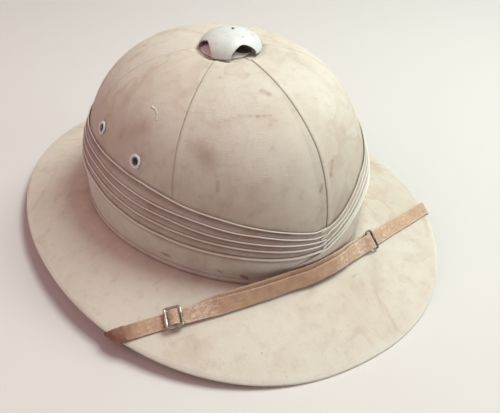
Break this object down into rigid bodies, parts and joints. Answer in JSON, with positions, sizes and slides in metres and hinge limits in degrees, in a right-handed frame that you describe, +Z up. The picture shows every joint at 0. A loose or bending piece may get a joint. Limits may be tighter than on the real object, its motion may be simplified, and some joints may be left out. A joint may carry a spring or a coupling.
{
  "type": "pith helmet",
  "caption": "Domed sun helmet with a sloping oval brim, pleated cloth band, arched vent cap, side eyelets and a leather chin strap laid over the front of the brim.",
  "frame": {"origin": "on the surface the hat rests on, under the middle of its bounding box", "axes": "+Z up, -Y the front of the hat, +X the wearer's left"},
  "size_m": [0.2656, 0.34, 0.1433],
  "materials": {
    "cotton": "cream cotton cloth, tea-coloured age stains",
    "band_cotton": "folded cream cotton, matt",
    "enamel": "off-white enamel, slightly speckled",
    "nickel": "worn nickel plate",
    "dark_metal": "browned steel",
    "leather": "tan strap leather, cracked and dry"
  },
  "bodies": {
    "root": {"crown": "cotton", "brim": "cotton", "puggaree": "band_cotton", "vent_base": "enamel", "vent_cap": "enamel", "vent_rivet": "dark_metal", "eyelet_right_front": "enamel", "eyelet_right_rear": "enamel", "eyelet_left_front": "enamel", "eyelet_left_rear": "enamel", "strap_right": "leather", "strap_left": "leather", "strap_stud_right": "dark_metal", "strap_stud_left": "dark_metal", "buckle": "nickel", "keeper": "dark_metal"}
  },
  "joints": []
}
